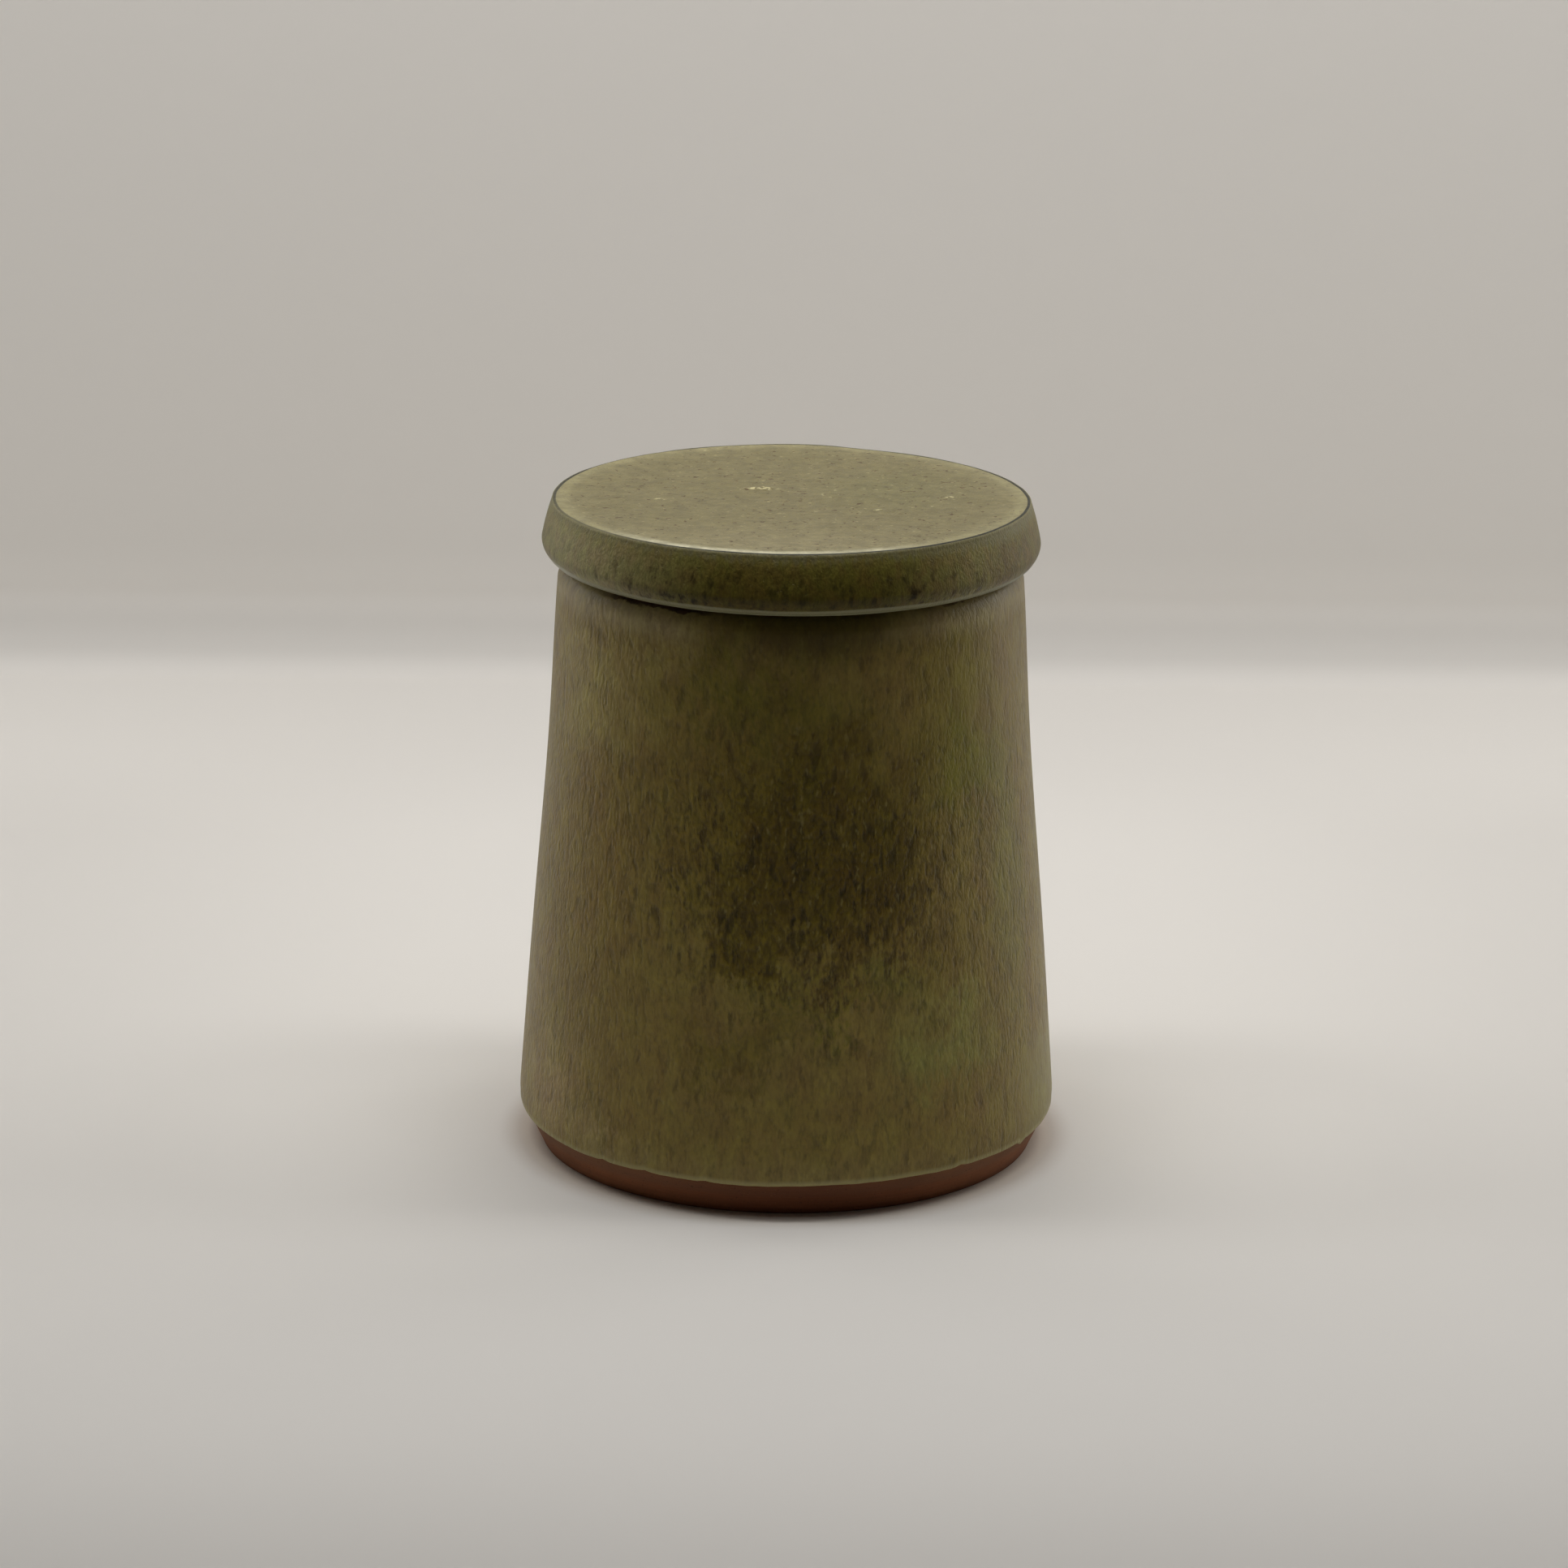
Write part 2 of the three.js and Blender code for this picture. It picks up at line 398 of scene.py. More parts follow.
# Inside of the jar, from the middle of the floor up to the rim. The throwing rings are its waves.
ring_height = 0.22
ring_pitch = 5.2


def inner_radius(height):
    """Inner clay radius of the wall between the floor's corner and the mouth."""
    rings = ring_height * (0.5 - 0.5 * math.cos(FULL_TURN * height / ring_pitch))
    fade = min(1, (rim_height - mouth_depth - height) / mouth_blend)
    return wall_radius(height) - wall_thickness - rings * max(0, fade)


corner_height = floor_height + inner_corner_round
corner_radius = wall_radius(corner_height) - wall_thickness - inner_corner_round
mouth_end = rim_height - mouth_depth
inside_points = [
    *((r, floor_height) for r in spaced(0.0, corner_radius, 1.5)[:-1]),
    *arc((corner_radius, corner_height), inner_corner_round, -QUARTER_TURN, 0, 16)[:-1],
    *((inner_radius(z), z) for z in spaced(corner_height, mouth_end - mouth_blend, 0.7)),
    *((mouth_radius, z) for z in spaced(mouth_end, rim_height - liner_drop, 1.0)),
]
inside = Line(inside_points, left_side)


def liner_edge(angle):
    """Where the liner glaze stops below the rim."""
    return liner_skin.length - 0.5 + 0.35 * around(angle, 2.0, 8.8)


def even_cover(angle, distance, to_start, to_end):
    """An even coat, rounded off at its open edge."""
    return lip(min(to_start, to_end), 0.4), 0.0


liner_skin = raised(inside, bond_gap + liner_thickness - liner_margin, left_side)
liner_piece = glaze_coat("jar_liner", inside, liner_skin, jar_place, even_cover,
                         None, liner_edge, hidden_turn_steps)

# Clay of the jar: under the foot, the bevel, the hidden wall, the bare rim and the hidden inside
trim_groove = 0.1
trim_pitch = 2.6


def recess_height(radius):
    """The recess under the foot, with the turning tool's shallow rings."""
    return recess_depth - trim_groove * (0.5 - 0.5 * math.cos(FULL_TURN * radius / trim_pitch))


# From the recess, a rounded step leads down to the flat ring that the jar stands on
ring_inner = foot_radius - foot_ring_width
under_foot = [
    *((r, recess_height(r)) for r in spaced(0.0, ring_inner - recess_run - 0.4, 0.4)),
    *arc((ring_inner - recess_run - 0.4, recess_depth - 0.5), 0.5, QUARTER_TURN, math.radians(45), 3)[1:],
    (ring_inner - 0.25, 0.25),
    (ring_inner + 0.1, 0.03),
    (ring_inner + 0.6, 0),
    *((r, 0) for r in spaced(ring_inner + 1.2, foot_radius - foot_edge_round - 0.6, 1.2)),
    *arc((foot_radius - foot_edge_round, foot_edge_round), foot_edge_round,
         -QUARTER_TURN, math.radians(-26), 6),
]
bevel = [(bevel_radius(z), z) for z in spaced(0.7, foot_bevel_height - 0.4, 0.35)]
hidden_wall = [outside.at(s)[0] for s in spaced(4.0, shoulder_line - 2.0, hidden_spacing)]
bare_rim = [outside.at(s)[0] for s in spaced(shoulder_line - 1.5, outside.length, 0.3)]
inner_rim = arc((mouth_radius + rim_inner_round, rim_height - rim_inner_round), rim_inner_round,
                QUARTER_TURN, math.pi, 6)
jar_section = [
    *under_foot,
    *bevel,
    *((p[0], p[1]) for p in hidden_wall),
    *((p[0], p[1]) for p in bare_rim),
    *inner_rim,
    *reversed(inside.points),
]
jar_clay = turned("jar_clay", jar_section, jar_place, hidden_turn_steps)

# Lid's outside, from under its lower edge round the side and over the top to the axis
under_wrap = lid_radius - lid_lower_round - glaze_wrap


def side_radius(height):
    """Outer clay radius of the lid's flared side, with its slight swell."""
    share = (height - lid_side_height) / (lid_top - lid_side_height)
    return lid_radius - lid_flare * share + lid_side_swell * (1 - (2 * share - 1) ** 2)


def lid_surface(radius):
    """Height of the lid's clay top, dished towards its middle."""
    share = radius / lid_top_radius
    return lid_top - lid_dish * (1 - share ** dish_sharpness)


def lid_profile(cover, edge):
    """The lid's outside with a cover of glaze over the clay and a given roundness of the top edge."""
    top = lid_top + cover
    middle = (side_radius(lid_top) + cover - edge, top - edge)
    return Line([
        *((r, lid_seat - cover) for r in spaced(under_wrap - 1.0, lid_radius - lid_lower_round, 0.4)[:-1]),
        *arc((lid_radius - lid_lower_round, lid_side_height), lid_lower_round + cover,
             -QUARTER_TURN, 0, 20),
        *((side_radius(z) + cover, z) for z in spaced(lid_side_height, middle[1], 0.5)[1:-1]),
        *arc(middle, edge, 0, QUARTER_TURN, 8),
        *((r, lid_surface(r) + cover) for r in reversed(spaced(0.0, middle[0], 0.45)[:-1])),
    ], right_side)


lid_outside = lid_profile(0.0, 0.1)
lid_skin = lid_profile(coat - skin_margin, lid_edge_round)
lid_edge_mark = next(m for m, p in zip(lid_skin.marks, lid_skin.points)
                     if p[1] >= lid_top + coat - 1.5 * skin_margin)


def wrap_edge(angle):
    """Where the lid's glaze starts, under its lower edge."""
    return 1.0 + 0.3 * around(angle, 2.4, 6.1) + 0.12 * around(angle, 10, 2.3)


# Crumbs of glaze that melted onto the lid's top, and one pit beside them: x, y, height and width
crumb_reach = 2
lid_crumbs = [
    (-8.1, 8.2, 0.16, 0.55), (-7.0, 8.9, 0.2, 0.6), (-6.2, 8.3, 0.24, 0.55), (-5.3, 9.1, 0.3, 0.6),
    (-4.5, 8.6, 0.26, 0.5), (-3.8, 9.0, 0.2, 0.5), (-6.6, 7.4, 0.14, 0.5), (-5.0, 7.7, 0.16, 0.45),
    (-4.0, 7.9, -0.22, 0.4), (-8.8, 8.8, 0.12, 0.45), (16.0, -7.4, 0.16, 0.5), (29.0, 3.0, 0.16, 0.5),
    (15.2, -7.0, 0.1, 0.4), (-24.0, -0.6, 0.12, 0.6), (25.2, 22.0, 0.12, 0.45), (7.0, -21.0, 0.1, 0.5),
]


def lid_cover(angle, distance, to_wrap, to_middle):
    """The lid's glaze rolls up under its lower edge and is a little uneven on top."""
    extra = 0.1 * bump_at(to_wrap, 1.6, 1.0) + 0.16 * bump_at(to_wrap, 3.5, 0.7)
    extra -= 0.07 * bump_at(distance, lid_edge_mark - 0.62, 0.16)
    if distance > lid_edge_mark:
        radius = lid_skin.length - distance
        x, y = radius * math.cos(angle), radius * math.sin(angle)
        uneven = 0.04 * noise.noise(Vector((x / 9, y / 9, 2.2)))
        uneven += 0.015 * noise.noise(Vector((x / 2.2, y / 2.2, 4)))
        fade = min(1, (distance - lid_edge_mark) / 4)
        crumbs = sum(
            height * math.exp(-((x - cx) ** 2 + (y - cy) ** 2) / width ** 2)
            for cx, cy, height, width in lid_crumbs
            if abs(x - cx) < crumb_reach and abs(y - cy) < crumb_reach
        )
        extra += uneven * fade - 0.02 * fade + crumbs
    return lip(to_wrap, 0.4), extra


lid_glaze_piece = glaze_coat("lid_ash_glaze", lid_outside, lid_skin, lid_place, lid_cover,
                             wrap_edge, None, turn_steps)

# Under the lid: glazed ceiling inside the flange, from the flange's bare edge to the axis
ceiling_dish = 0.25
spiral_pitch = 6.4


def ceiling_height(radius):
    """The ceiling's clay, with a throwing spiral's soft rings."""
    share = radius / (flange_inner_radius - ceiling_round)
    spiral = 0.5 * (math.cos(FULL_TURN * radius / spiral_pitch) - 1)
    return lid_ceiling + ceiling_dish * spiral * share * (1 - share) * 2


ceiling_points = [
    *((flange_inner_radius, z)
      for z in spaced(flange_bottom + flange_edge_round, lid_ceiling - ceiling_round, 0.8)[:-1]),
    *arc((flange_inner_radius - ceiling_round, lid_ceiling - ceiling_round), ceiling_round,
         0, QUARTER_TURN, 10)[:-1],
    *((r, ceiling_height(r)) for r in reversed(spaced(0.0, flange_inner_radius - ceiling_round, 0.6))),
]
ceiling = Line(ceiling_points, left_side)


def ceiling_edge(angle):
    """Where the underside's glaze stops above the flange's edge."""
    return flange_bare_edge - flange_edge_round + 0.3 * around(angle, 2.1, 11.5)


ceiling_skin = raised(ceiling, bond_gap + liner_thickness - liner_margin, left_side)
ceiling_piece = glaze_coat("lid_underside_coat", ceiling, ceiling_skin, lid_place, even_cover,
                           ceiling_edge, None, hidden_turn_steps)

flange_foot = flange_radius - flange_taper
flange_section = [
    *arc((flange_inner_radius + flange_edge_round, flange_bottom + flange_edge_round), flange_edge_round,
         math.pi, math.pi + QUARTER_TURN, 8),
    *arc((flange_foot - flange_edge_round, flange_bottom + flange_edge_round), flange_edge_round,
         -QUARTER_TURN, 0, 8),
    *((flange_foot + flange_taper * (z - flange_bottom) / (lid_seat - flange_bottom), z)
      for z in spaced(flange_bottom + flange_edge_round + 0.8, lid_seat - 0.7, 0.8)),
    *arc((flange_radius + 0.5, lid_seat - 0.5), 0.5, math.pi, QUARTER_TURN, 5),
    *((r, lid_seat) for r in spaced(flange_radius + 1.0, under_wrap - 1.2, 0.8)),
]
lid_section = [
    *reversed(ceiling_points),
    *flange_section,
    *lid_outside.points,
]
lid_clay = turned("lid_clay", lid_section, lid_place, hidden_turn_steps)


def paint(code):
    """The linear colour, with alpha, of an sRGB hex code."""
    parts = [int(code[i:i + 2], 16) / 255 for i in (1, 3, 5)]
    return (*(c / 12.92 if c <= 0.04045 else ((c + 0.055) / 1.055) ** 2.4 for c in parts), 1)


def node(tree, kind, sockets=(), out=0, stops=(), **settings):
    """Add a node with its settings, give its sockets a value or a link, and return one output."""
    made = tree.nodes.new("ShaderNode" + kind)
    for name, value in settings.items():
        setattr(made, name, value)
    for i, (spot, colour) in enumerate(stops):
        stop = made.color_ramp.elements[i] if i < 2 else made.color_ramp.elements.new(spot)
        stop.position, stop.color = spot, colour
    for key, value in dict(sockets).items():
        if isinstance(value, bpy.types.NodeSocket):
            tree.links.new(value, made.inputs[key])
        else:
            made.inputs[key].default_value = value
    return made.outputs[out]


def pattern(tree, coords, wide, tall, low, high, detail=2.0, seed=0.0):
    """Specks or clouds of one real size, in millimetres: 0 where the noise is low and 1 where high."""
    cells = (1 / (wide * MM), 1 / (wide * MM), 1 / (tall * MM))
    place = node(tree, "Mapping", {"Vector": coords, "Location": (seed, seed, seed), "Scale": cells})
    cloud = node(tree, "TexNoise", {"Vector": place, "Scale": 1.0, "Detail": detail, "Roughness": 0.55})
    return node(tree, "MapRange", {"Value": cloud, "From Min": low, "From Max": high},
                interpolation_type="SMOOTHSTEP")


def blotch(tree, coords, place, size, core=0.35):
    """1 in the middle of an egg-shaped blotch, 0 past its edge. Place and size are in millimetres."""
    centred = node(tree, "Mapping", {
        "Vector": coords, "Location": [v * MM for v in place], "Scale": [v * MM for v in size],
    }, vector_type="TEXTURE")
    away = node(tree, "VectorMath", {0: centred}, out="Value", operation="LENGTH")
    return node(tree, "MapRange", {"Value": away, "From Min": 1.0, "From Max": core},
                interpolation_type="SMOOTHSTEP")


def band(tree, value, start, end):
    """0 at the start and 1 at the end of a stretch, with a soft change between."""
    return node(tree, "MapRange", {"Value": value, "From Min": start, "From Max": end},
                interpolation_type="SMOOTHSTEP")


def front(degrees, radius, height):
    """A place on the jar, in millimetres, by degrees from its front (right is positive)."""
    angle = math.radians(degrees)
    return (radius * math.sin(angle), -radius * math.cos(angle), height)


def finish_with(name, build):
    """A material whose node tree one function builds, from the object's own coordinates."""
    made = bpy.data.materials.new(name)
    made.use_nodes = True
    tree = made.node_tree
    tree.nodes.clear()
    coords = node(tree, "TexCoord", out="Object")
    shader = build(tree, coords)
    node_out = tree.nodes.new("ShaderNodeOutputMaterial")
    tree.links.new(shader, node_out.inputs["Surface"])
    return made


def mixed(tree, layers, base):
    """Lay colours over a base, each through its own mask."""
    colour = base
    for mask, over in layers:
        colour = node(tree, "Mix", {0: mask, 6: colour, 7: over}, out=2, data_type="RGBA")
    return colour


def scaled(tree, mask, share):
    """A mask at a share of its strength."""
    return node(tree, "Math", {0: mask, 1: share}, operation="MULTIPLY")


def both(tree, first, second):
    """A mask that shows only where two masks do."""
    return node(tree, "Math", {0: first, 1: second}, operation="MULTIPLY")


def either(tree, first, second):
    """A mask that shows wherever one of two masks does."""
    return node(tree, "Math", {0: first, 1: second}, operation="MAXIMUM")


def tinged(tree, colour, hue, value):
    """A colour turned a little round the colour wheel and made lighter or darker."""
    return node(tree, "HueSaturation", {"Hue": hue, "Value": value, "Color": colour})


def drifted(tree, coords, sway, runs):
    """Coordinates pushed about by noise, so that a blotch gets the ragged edge of a melt that ran."""
    swirl = node(tree, "TexNoise", {"Vector": coords, "Scale": 1 / (9 * MM), "Detail": 5.0,
                                    "Roughness": 0.62}, out="Color")
    push = node(tree, "VectorMath", {0: swirl, 1: (0.5, 0.5, 0.5)}, operation="SUBTRACT")
    push = node(tree, "VectorMath", {0: push, 1: [v * MM for v in sway]}, operation="MULTIPLY")
    run = node(tree, "MapRange", {"Value": runs, "To Min": -2.5 * MM, "To Max": 2.5 * MM})
    push = node(tree, "VectorMath", {0: push, 1: node(tree, "CombineXYZ", {"Z": run})}, operation="ADD")
    return node(tree, "VectorMath", {0: coords, 1: push}, operation="ADD")


# Ash glaze over iron-rich clay, fired in reduction. The wood ash runs as it melts, which leaves fine
# upright streaks, and iron bleeds through as brown strokes. It cools to a satin skin, not a mirror.
# Patches: degrees from the front, height, width across, width up, solid share, strength and colour
jar_patches = [
    (-120, 55, 80, 120, 0.2, 0.7, "#80763C"),
    (118, 55, 80, 120, 0.2, 0.7, "#80763C"),
    (-50, 60, 40, 66, 0.1, 0.8, "#856D2E"),
    (-60, 14, 34, 36, 0.1, 0.9, "#9D8653"),
    (-42, 6, 26, 14, 0.3, 0.7, "#9E8858"),
    # painted light: this patch and the one at -54 degrees lighten the upper left wall, under the lid's
    # shadow
    (-32, 102, 28, 16, 0.2, 0.7, "#968348"),
    (-3, 34, 24, 12, 0.2, 0.6, "#6A5C14"),
    (-54, 94, 44, 36, 0.1, 0.9, "#9E8C4C"),
    (-22, 96, 34, 16, 0.1, 0.6, "#7F7029"),
    (46, 96, 34, 30, 0.1, 0.7, "#87772A"),
    (46, 80, 30, 30, 0.1, 0.8, "#7A751B"),
    (4, 70, 74, 66, 0.2, 1.0, "#6F5D12"),
    (12, 63, 48, 47, 0.3, 1.0, "#624F04"),
    (-10, 55, 27, 28, 0.2, 0.8, "#645206"),
    (12, 80, 40, 24, 0.2, 0.5, "#675609"),
    (-6, 95, 48, 24, 0.2, 0.7, "#6E6315"),
    (27, 42, 24, 16, 0.2, 0.6, "#78722A"),
    (-8, 47, 22, 16, 0.2, 0.9, "#695704"),
    (6, 41, 40, 10, 0.2, 0.8, "#7E7124"),
    (37, 31, 34, 24, 0.1, 1.0, "#8C8540"),
    (45, 15, 14, 15, 0.4, 0.6, "#866E3C"),
    (35, 47, 20, 22, 0.2, 0.5, "#7A6424"),
    (60, 60, 20, 76, 0.2, 0.5, "#7D7734"),
    (-14, 29, 28, 16, 0.1, 0.8, "#76641C"),
    (2, 15, 66, 20, 0.2, 0.7, "#87742F"),
    (165, 56, 56, 50, 0.2, 0.8, "#66551A"),
    (120, 30, 40, 30, 0.1, 0.6, "#8C7E40"),
    (-130, 84, 44, 40, 0.1, 0.5, "#8A7838"),
    (114, 72, 34, 50, 0.1, 0.6, "#6C5B16"),
    (140, 96, 36, 20, 0.1, 0.7, "#9E8C4C"),
    (142, 12, 54, 22, 0.2, 0.7, "#9D8653"),
    (-104, 40, 34, 44, 0.1, 0.5, "#6C5B16"),
    (-150, 14, 50, 26, 0.2, 0.7, "#968348"),
]
shoulder_mark = next(m for m, p in zip(outer_skin.marks, outer_skin.points) if p[1] > shoulder_height)


def jar_ash_glaze(tree, coords):
    along = node(tree, "Attribute", out="Fac", attribute_name="along")
    streaks = pattern(tree, coords, 0.85, 2.4, 0.34, 0.66, detail=3.0, seed=1.7)
    grain = pattern(tree, coords, 0.6, 1.2, 0.34, 0.66, detail=1.5, seed=5.2)
    strokes = pattern(tree, coords, 1.35, 3.6, 0.52, 0.66, detail=3.0, seed=2.9)
    glint_dots = pattern(tree, coords, 0.9, 2.0, 0.6, 0.76, detail=1.5, seed=11.0)
    mottle = pattern(tree, coords, 3.6, 7.5, 0.34, 0.66, detail=3.0, seed=8.6)
    cast = pattern(tree, coords, 9, 14, 0.36, 0.64, detail=2.0, seed=4.2)
    loose = drifted(tree, coords, (22, 22, 34), streaks)
    layers = []
    for degrees, height, across, up, core, strength, code in jar_patches:
        mask = blotch(tree, loose, front(degrees, 46, height), (across / 2, across / 2, up / 2), core)
        layers.append((scaled(tree, mask, strength), paint(code)))
    clouds = pattern(tree, coords, 15, 22, 0.42, 0.62, seed=3.1)
    foot_roll = band(tree, along, SECTION_SHIFT + 1.7, SECTION_SHIFT + 0.6)
    foot_pool = band(tree, along, SECTION_SHIFT + 8.0, SECTION_SHIFT + 2.0)
    shoulder = band(tree, along, SECTION_SHIFT + shoulder_mark - 1.5, SECTION_SHIFT + shoulder_mark + 3.2)
    frayed = node(tree, "Math", {0: mottle, 1: 0.9, 2: along}, operation="MULTIPLY_ADD")
    rim_end = SECTION_SHIFT + outer_skin.length
    thin_rim = band(tree, frayed, rim_end - 1.05, rim_end - 0.5)
    bared = either(tree, blotch(tree, coords, front(-36, 42, 108), (17, 17, 15), 0.4),
                   scaled(tree, blotch(tree, coords, front(50, 42, 108), (14, 14, 14), 0.2), 0.8))
    # pale mauve-grey high on the shoulder's sides: the glaze thins there, and the paleness is also painted
    # sheen of the rounding shoulder
    mauve = either(tree, blotch(tree, loose, front(-56, 42, 108), (32, 32, 60), 0.35),
                   scaled(tree, blotch(tree, loose, front(62, 42, 108), (32, 32, 60), 0.35), 0.75))
    # painted shadow: the lid's shade on the wall just under its front
    painted_lid_shadow = blotch(tree, coords, front(6, 42, 110), (27, 27, 12), 0.2)
    busy = blotch(tree, loose, front(4, 46, 62), (43, 43, 32), 0.3)
    pool = blotch(tree, loose, front(78, 46, 12), (26, 26, 19), 0.1)
    rest = node(tree, "MapRange", {"Value": busy, "To Min": 0.65, "To Max": 1.35})
    pooled = {"Value": pool, "From Max": 0.6, "To Min": 1.0, "To Max": 0.3}
    rest = both(tree, rest, node(tree, "MapRange", pooled))
    quiet = either(tree, shoulder, blotch(tree, coords, front(56, 46, 95), (21, 21, 24), 0.3))
    rest = both(tree, rest, node(tree, "MapRange", {"Value": quiet, "To Min": 1.0, "To Max": 0.6}))
    colour = mixed(tree, [
        (scaled(tree, clouds, 0.3), paint("#7E6B2C")),
        *layers,
        (scaled(tree, foot_pool, 0.4), paint("#938046")),
        (scaled(tree, pool, 0.65), paint("#91884C")),
        (scaled(tree, painted_lid_shadow, 0.85), paint("#4C400A")),
        (both(tree, scaled(tree, mauve, 0.85), shoulder), paint("#A9986B")),
        (both(tree, thin_rim, bared), paint("#4A2C1A")),
    ], paint("#887335"))
    skin = node(tree, "Math", {0: grain, 1: streaks}, operation="SUBTRACT")
    hue = node(tree, "Math", {0: mottle, 1: scaled(tree, cast, 0.6)}, operation="SUBTRACT")
    hue = node(tree, "MapRange", {"Value": hue, "From Min": -0.6, "From Max": 1.0,
                                  "To Min": 0.495, "To Max": 0.511})
    value = node(tree, "Math", {0: skin, 1: scaled(tree, rest, 0.27), 2: 1.0}, operation="MULTIPLY_ADD")
    dark = node(tree, "Math", {0: scaled(tree, strokes, -0.36), 1: rest, 2: 1.04}, operation="MULTIPLY_ADD")
    clot = node(tree, "MapRange", {"Value": mottle, "To Min": 0.93, "To Max": 1.09})
    colour = tinged(tree, colour, hue, both(tree, both(tree, value, clot), dark))
    colour = mixed(tree, [
        # painted glints: pale dots where tiny bumps in the glaze catch the light
        (both(tree, scaled(tree, glint_dots, 0.3), rest), paint("#A3955A")),
        (scaled(tree, foot_roll, 0.9), paint("#ABA06A")),
    ], colour)
    peel = node(tree, "Bump", {"Height": skin, "Strength": rest, "Distance": 0.08 * MM})
    pits = node(tree, "Bump", {"Height": strokes, "Strength": rest, "Distance": 0.1 * MM, "Normal": peel},
                invert=True)
    rough = node(tree, "MapRange", {"Value": grain, "To Min": 0.4, "To Max": 0.5})
    return node(tree, "BsdfPrincipled", {"Base Color": colour, "Roughness": rough, "IOR": 1.48,
                                         "Normal": pits})


# Where crumbs melted in pale on the lid's top: x, y, half width and half depth
lid_pale_marks = [(-5.6, 8.6, 4.4, 1.1), (16.0, -7.6, 1.6, 0.6), (29.0, 2.6, 1.5, 0.6),
                  (-24.0, -0.8, 1.4, 0.6)]
